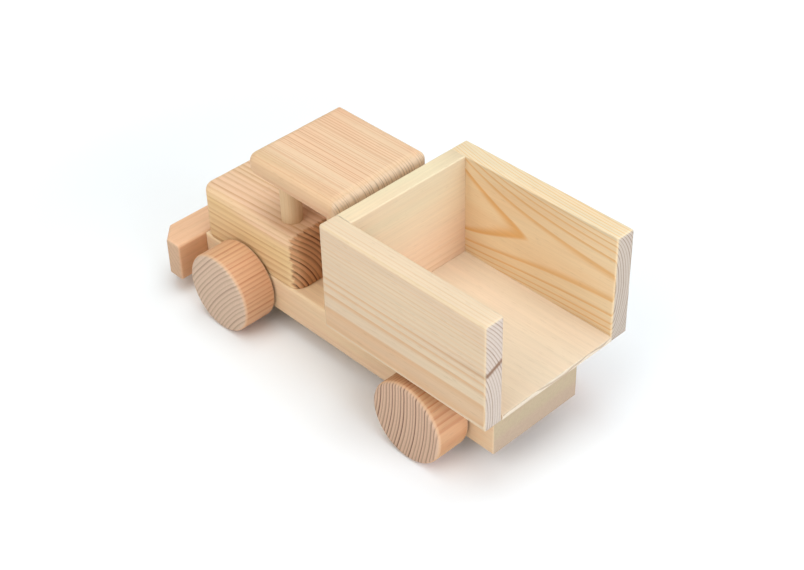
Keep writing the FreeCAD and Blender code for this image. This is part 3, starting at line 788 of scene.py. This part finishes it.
def pine_finish(name, grain, pith, colours, lean=(0.0, 0.0, 0.0), bump=0.35, rings=trunk_tree,
                **numbers):
    """A pine material: grain is X, Y or Z, pith a point on the trunk's middle line.

    lean tilts that line. numbers are inputs of the rings group or of the pine group, in lower
    case.
    """
    material = bpy.data.materials.new(name)
    material.use_nodes = True
    tree = material.node_tree
    shader = tree.nodes["Principled BSDF"]
    place = node(tree, "ShaderNodeTexCoord", name="place")
    turn = [a + b for a, b in zip(TURN[grain], lean)]
    laid = node(tree, "ShaderNodeMapping", {"Vector": place.outputs["Object"], "Location": pith,
                                            "Rotation": turn}, vector_type="TEXTURE")
    values = {label.replace("_", " ").title(): value for label, value in numbers.items()}
    ring_values = {item.name: values.pop(item.name) for item in rings.interface.items_tree
                   if item.name in values}
    counted = node(tree, "ShaderNodeGroup", {"Point": laid.outputs[0]} | ring_values,
                   node_tree=rings)
    inputs = {"Point": laid.outputs[0], "Normal": place.outputs["Normal"], "Grain": ALONG[grain],
              "Years": counted.outputs["Years"]}
    inputs |= {label: tone(*shade) for label, shade in colours.items()} | values
    pine = node(tree, "ShaderNodeGroup", inputs, node_tree=pine_tree, name="pine")
    raised = node(tree, "ShaderNodeBump", {"Height": pine.outputs["Height"], "Strength": bump,
                                           "Distance": BUMP_DEPTH})
    tree.links.new(pine.outputs["Color"], shader.inputs["Base Color"])
    tree.links.new(pine.outputs["Roughness"], shader.inputs["Roughness"])
    tree.links.new(raised.outputs[0], shader.inputs["Normal"])
    shader.inputs["Specular IOR Level"].default_value = SHEEN
    return material


def along_board(material, axis, low, high, start, end):
    """A number that runs smoothly from start to end between two places on the board."""
    tree = material.node_tree
    places = node(tree, "ShaderNodeSeparateXYZ", {0: tree.nodes["place"].outputs["Object"]})
    return smooth_step(tree, places.outputs["XYZ".index(axis)], low, high, start, end)


def set_pine(material, label, socket):
    """Lets a number or colour of the pine group change over the board."""
    material.node_tree.links.new(socket, material.node_tree.nodes["pine"].inputs[label])


def two_tone(material, label, axis, low, high, second):
    """Lets a colour of the finish turn into a second one between two places."""
    share = along_board(material, axis, low, high, 0.0, 1.0)
    first = tuple(material.node_tree.nodes["pine"].inputs[label].default_value)
    set_pine(material, label, mix_colour(material.node_tree, share, first, tone(*second)))


def palette(*shades):
    """Names the six colours of a pine finish, in the order of PINE_COLOURS."""
    return dict(zip(PINE_COLOURS, shades))


finishes = {}

# %% [markdown]
# The left side of the bed is level with its rings in its lower half. Its lines are broad and
# strong there, closer and fainter above, and its top edge is paler. The rear ends of both
# sides are bleached by handling, and the front ends are as sawn. A dark trace of a twig
# crosses the left side's rear end: it is the wood near a tilted plane, made ragged by noise,
# and it fades out forwards along the board.

# %% Finish of the left side
TOP_EDGE, FRONT_END = (0.1005, 0.1022), (-0.06, -0.03)
left_side = pine_finish(
    "pine_side_left", "X", (-0.0148, 0.0967, 0.0531),
    palette((213, 191, 161), (203, 156, 112), (208, 179, 153), (196, 180, 165), (134, 106, 86),
            (222, 200, 158)),
    lean=(0.0, 0.008, 0.0), ring_width=1.45 * MM, uneven_years=0.0, wobble=0.5 * MM,
    shift=-0.30 * MM, latewood_share=0.5, patch_amount=0.3)
set_pine(left_side, "Line Strength", along_board(left_side, "Z", 0.060, 0.092, 1.0, 0.4))
two_tone(left_side, "Earlywood", "Z", *TOP_EDGE, (221, 199, 168))
finishes["bed_wall_left"] = left_side

tree = left_side.node_tree
TRACE_POINT, TRACE_NORMAL = (-0.1148, 0.0460, 0.0762), (0.03, 0.394, 0.919)
TRACE_RAG, TRACE_CORE, TRACE_EDGE = 0.8 * MM, 0.6 * MM, 2.4 * MM
TRACE_SHARE, MORE_ON_END, TRACE_COLOUR = 0.22, 0.65, tone(124, 86, 58)
from_trace = vector_node(tree, "SUBTRACT", tree.nodes["place"].outputs["Object"], TRACE_POINT)
off_trace = vector_node(tree, "DOT_PRODUCT", from_trace, TRACE_NORMAL, output=1)
ragged = noise(tree, tree.nodes["place"].outputs["Object"], 420.0)
off_trace = math_node(tree, "ADD", math_node(tree, "ABSOLUTE", off_trace),
                      math_node(tree, "MULTIPLY", ragged, TRACE_RAG))
streak = smooth_step(tree, off_trace, TRACE_CORE, TRACE_EDGE, 1.0, 0.0)
showing = math_node(tree, "MULTIPLY_ADD", tree.nodes["pine"].outputs["End"], MORE_ON_END,
                    TRACE_SHARE)
near_rear = along_board(left_side, "X", -0.1135, -0.078, 1.0, 0.0)
fading = math_node(tree, "MULTIPLY", showing, near_rear)
streaked = mix_colour(tree, math_node(tree, "MULTIPLY", streak, fading),
                      tree.nodes["pine"].outputs["Color"], TRACE_COLOUR)
tree.links.new(streaked, tree.nodes["Principled BSDF"].inputs["Base Color"])
print("left side:", len(tree.nodes), "nodes")

# %% [markdown]
# The right side takes the flame rings instead of the trunk's. The front board lies across
# the truck, so its grain runs along Y, and it turns from pink below to straw above.

# %% Finishes of the right side and the front board
right_side = pine_finish(
    "pine_side_right", "X", (-0.0243, -0.0355, 0.0787),
    palette((230, 205, 166), (217, 163, 95), (227, 191, 147), (185, 170, 154), (124, 99, 81),
            (233, 214, 178)),
    lean=(0.0, 0.0, np.pi), rings=flame_tree, latewood_share=0.32, line_strength=0.85,
    end_line_strength=1.0, patch_amount=0.5)
two_tone(right_side, "Earlywood", "Z", *TOP_EDGE, (219, 199, 166))
finishes["bed_wall_right"] = right_side
for side in (left_side, right_side):
    two_tone(side, "End Wood", "X", *FRONT_END, (214, 184, 148))
    two_tone(side, "End Lines", "X", *FRONT_END, (168, 126, 90))

front_pine = pine_finish(
    "pine_front_board", "Y", (-0.060, 0.0, 0.004),
    palette((229, 194, 161), (214, 168, 130), (226, 194, 160), (214, 206, 190), (146, 120, 97),
            (226, 214, 178)),
    ring_width=3.0 * MM, uneven_years=0.5, wobble=1.6 * MM, latewood_share=0.5,
    patch_amount=0.5, edge_light=0.05)
set_pine(front_pine, "Line Strength", along_board(front_pine, "Z", 0.055, 0.072, 0.5, 0.06))
two_tone(front_pine, "Earlywood", "Z", 0.055, 0.100, (221, 205, 170))
finishes["bed_wall_front"] = front_pine
print("bed finishes:", sorted(finishes))

# %% [markdown]
# The roof was sawn across its rings, so fine straight lines cover it, pinker on its right.
# The hood's pith ran past its foot on the left, and its lines lean a little. Its rear end was
# scorched by a hot saw, and the scorch licks a few millimetres up the grain. The same dark mark
# reaches over the top beneath the roof, next to the bed, where it is painted shade as well as
# scorch: noise drawn out along X moves its limit forwards and back. Its front end was cut cleanly.

# %% Finishes of the roof and the hood
roof_pine = pine_finish(
    "pine_roof", "X", (0.02, 0.130, 0.060),
    palette((222, 189, 155), (197, 145, 109), (222, 176, 141), (236, 208, 178), (132, 94, 70),
            (224, 192, 152)),
    lean=(0.0, 0.0, 0.01), ring_width=1.75 * MM, uneven_years=1.3, wobble=0.9 * MM,
    latewood_share=0.5, line_strength=0.8, end_line_strength=0.5)
two_tone(roof_pine, "Earlywood", "Y", 0.016, 0.028, (209, 176, 137))
set_pine(roof_pine, "Patch Amount", along_board(roof_pine, "Y", -0.028, -0.012, 1.0, 0.45))
finishes["roof"] = roof_pine

CLEAN_END = (0.045, 0.075)
hood_pine = pine_finish(
    "pine_hood", "X", (0.026, 0.0589, 0.0158),
    palette((228, 194, 142), (192, 138, 92), (233, 194, 161), (205, 150, 105), (84, 42, 19),
            (231, 197, 152)),
    lean=(0.0, 0.055, 0.0), ring_width=2.35 * MM, uneven_years=0.5, wobble=1.0 * MM,
    latewood_share=0.62, line_strength=0.65, end_line_strength=1.0)
set_pine(hood_pine, "Patch Amount", along_board(hood_pine, "Z", 0.053, 0.058, 0.15, 0.9))
two_tone(hood_pine, "Earlywood", "Z", 0.055, 0.0605, (229, 194, 157))
two_tone(hood_pine, "End Wood", "X", *CLEAN_END, (212, 170, 126))
two_tone(hood_pine, "End Lines", "X", *CLEAN_END, (150, 102, 66))
finishes["hood_block"] = hood_pine

# Scorch and painted shade: the rear few millimetres of the hood take end-grain colours, a real
# scorch on its end and sides, and painted shade on its top beneath the roof, next to the bed.
LICK_LENGTH, LICK_SCALE = 7.0 * MM, (30.0, 620.0, 620.0)
SCORCH_AND_SHADE, SCORCH_AND_SHADE_ENDS, WOOD_BEGINS = 0.9, 0.0255, 0.0275
tree = hood_pine.node_tree
hood_place = tree.nodes["place"].outputs["Object"]
licks = noise(tree, vector_node(tree, "MULTIPLY", hood_place, LICK_SCALE), 1.0)
licked = math_node(tree, "MULTIPLY_ADD", licks, -LICK_LENGTH,
                   node(tree, "ShaderNodeSeparateXYZ", {0: hood_place}).outputs[0])
set_pine(hood_pine, "Scorch And Shade", smooth_step(tree, licked, SCORCH_AND_SHADE_ENDS, WOOD_BEGINS, SCORCH_AND_SHADE, 0.0))
print("hood:", len(tree.nodes), "nodes")

# %% [markdown]
# The bumper's grain runs across the truck. Its rear face, towards the truck, is painted redder
# and darker: painted shade. The four posts are cut from one length of dowel and share one
# finish, with the grain upright.

# %% Finishes of the bumper and the posts
bumper_pine = pine_finish(
    "pine_bumper", "Y", (0.150, 0.0, -0.030),
    palette((224, 172, 130), (211, 157, 115), (230, 183, 148), (206, 171, 141), (160, 122, 94),
            (232, 194, 159)),
    ring_width=2.8 * MM, uneven_years=0.6, wobble=1.0 * MM, latewood_share=0.5,
    line_strength=0.3, patch_amount=0.6, end_line_strength=0.35)
# Painted shade: the bumper's rear face and its rounding are redder and darker than the rest.
two_tone(bumper_pine, "Earlywood", "X", 0.0968, 0.0982, (228, 185, 148))
finishes["bumper"] = bumper_pine

post_wood = pine_finish(
    "pine_posts", "Z", (0.060, 0.030, 0.07),
    palette((217, 185, 144), (200, 159, 118), (221, 185, 148), (202, 169, 135), (152, 113, 85),
            (223, 193, 155)),
    ring_width=1.6 * MM, uneven_years=0.5, wobble=0.5 * MM, line_strength=0.3, patch_amount=0.3)
finishes |= {f"roof_post_{end}_{hand}": post_wood for end, hand in ends_and_hands}
print("finishes so far:", len(finishes))

# %% [markdown]
# The chassis was sawn far from the pith, so its rings are nearly flat, and they are broad
# and faint. Each wheel was sliced from another rod: its pith's place says how its rings
# curve, and two wheels have a colour of their own.

# %% Finishes of the chassis and the wheels
chassis_pine = pine_finish(
    "pine_chassis", "X", (0.0, 0.140, 0.120),
    palette((226, 196, 158), (215, 172, 131), (226, 190, 156), (186, 161, 136), (183, 153, 129),
            (230, 205, 169)),
    ring_width=4.2 * MM, uneven_years=0.5, wobble=2.5 * MM, latewood_share=0.6,
    line_strength=0.3, patch_amount=0.7, end_line_strength=0.25)
two_tone(chassis_pine, "End Wood", "Z", 0.018, 0.023, (186, 166, 135))
# Painted light: the chassis's top is painted paler, to lift the shade that the hood and the bed
# cast on it.
two_tone(chassis_pine, "Earlywood", "Z", 0.0285, 0.0305, (242, 212, 168))
finishes["chassis"] = chassis_pine

WHEEL_WOOD = palette((216, 169, 128), (185, 116, 76), (220, 165, 127), (207, 173, 147),
                     (104, 68, 50), (222, 189, 156))
# Each wheel's pith, ring width, line strength, end line strength and own colours.
WHEELS = {
    "wheel_front_left": ((-0.0189, 0.0, -0.0491), 2.1 * MM, 0.75, 0.5,
                         {"End Wood": (208, 180, 156)}),
    "wheel_rear_left": ((0.0409, 0.0, 0.0376), 1.85 * MM, 1.0, 1.0,
                        {"Earlywood": (203, 157, 114)}),
    "wheel_front_right": ((0.0500, 0.0, 0.0950), 2.0 * MM, 0.8, 0.7, {}),
    "wheel_rear_right": ((-0.1350, 0.0, 0.0750), 2.0 * MM, 0.8, 0.8, {}),
}
for node_name, (pith, ring_width, strength, end_strength, own_colours) in WHEELS.items():
    finishes[node_name] = pine_finish(
        "pine_" + node_name, "Y", pith, WHEEL_WOOD | own_colours, ring_width=ring_width,
        uneven_years=0.45, wobble=1.1 * MM, latewood_share=0.55, line_strength=strength,
        patch_amount=0.4, edge_light=0.5, end_line_strength=end_strength)
print("finishes so far:", len(finishes))

# %% [markdown]
# The bed's floor is thin plywood. Its face was peeled round a log, so its lines are broad,
# wavy and almost without contrast. The hinge, axles, dowels, pins and rest block are hardly
# seen. They keep their CAD shapes and share one plain finish.

# %% Finishes of the plywood and the hidden parts
finishes["bed_floor"] = pine_finish(
    "plywood_floor", "X", (-0.07, 0.0, 0.400),
    palette((222, 201, 174), (216, 190, 158), (224, 199, 172), (216, 199, 176), (171, 143, 115),
            (224, 208, 183)),
    ring_width=2.6 * MM, uneven_years=0.6, wobble=9.0 * MM, latewood_share=0.6,
    line_strength=0.12, patch_amount=0.7, edge_light=0.15)
hidden_wood = pine_finish(
    "pine_hidden", "Y", (-0.05, 0.0, 0.09),
    palette((206, 176, 136), (186, 142, 100), (208, 172, 138), (190, 162, 130), (128, 94, 68),
            (210, 182, 146)),
    ring_width=1.8 * MM, line_strength=0.4)
hidden_parts = [cad_piece for node_name, cad_piece in frame["nodes"].items()
                if node_name not in pieces]
for cad_piece in hidden_parts:
    cad_piece.data.materials.clear()
    cad_piece.data.materials.append(hidden_wood)
print(len(hidden_parts), "hidden parts")

# %% [markdown]
# ## Putting it on the frame
#
# Each new piece stands for its CAD node and rides on that node's body, so that the wheels
# turn and the bed tips.

# %% Ride on the bodies
body_of = {member: body for body, members in frame["record"]["behaviour"]["bodies"].items()
           for member in members}
slot_of = {"chassis": "chassis_board", "hood_block": "hood_wood", "roof": "roof_wood",
           "bumper": "bumper_wood", "bed_floor": "plywood"}
slot_starts = {"wheel_": "wheel_wood", "roof_post_": "dowel_wood", "bed_wall_": "wall_wood"}
slot_of |= {node_name: slot for node_name in pieces for start, slot in slot_starts.items()
            if node_name.startswith(start)}
for node_name, piece in pieces.items():
    piece.data.materials.append(finishes[node_name])
    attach(piece, body_of[node_name])
    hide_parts(node_name)

# %% [markdown]
# ## The floor
#
# The floor is one large pale sheet at the height of the wheels' lowest points. Away from
# the truck it is painted with a little glow, which grows with the distance, so that it ends white.

# %% Floor
FLOOR_HALF, GLOW_BEGINS, GLOW_FULL = 3.0, 0.2, 0.6
PAPER, NO_GLOW, GLOW = (0.9, 0.9, 0.9, 1.0), (0.0, 0.0, 0.0, 1.0), (0.9, 0.8, 0.8, 1.0)
floor_corners = plan_corners(-FLOOR_HALF, FLOOR_HALF, -FLOOR_HALF, FLOOR_HALF)
floor_mesh = bpy.data.meshes.new("studio_floor")
floor_mesh.from_pydata([(x, y, 0.0) for x, y in floor_corners], [], [(0, 1, 2, 3)])
studio_floor = bpy.data.objects.new("studio_floor", floor_mesh)
scene.collection.objects.link(studio_floor)
floor_paint = bpy.data.materials.new("pale_paper")
floor_paint.use_nodes = True
floor_shader = floor_paint.node_tree.nodes["Principled BSDF"]
floor_shader.inputs["Base Color"].default_value = PAPER
floor_shader.inputs["Roughness"].default_value = 0.9
floor_shader.inputs["Specular IOR Level"].default_value = 0.1
paper = floor_paint.node_tree
from_truck = vector_node(paper, "LENGTH", node(paper, "ShaderNodeTexCoord").outputs["Object"],
                         output=1)
# Painted glow: the floor's emission rises from 0.2 m to 0.6 m away from the truck, so the floor
# ends white.
far_white = mix_colour(paper, smooth_step(paper, from_truck, GLOW_BEGINS, GLOW_FULL), NO_GLOW, GLOW)
paper.links.new(far_white, floor_shader.inputs["Emission Color"])
floor_shader.inputs["Emission Strength"].default_value = 1.0
floor_mesh.materials.append(floor_paint)
print("floor:", 2 * FLOOR_HALF, "m across")
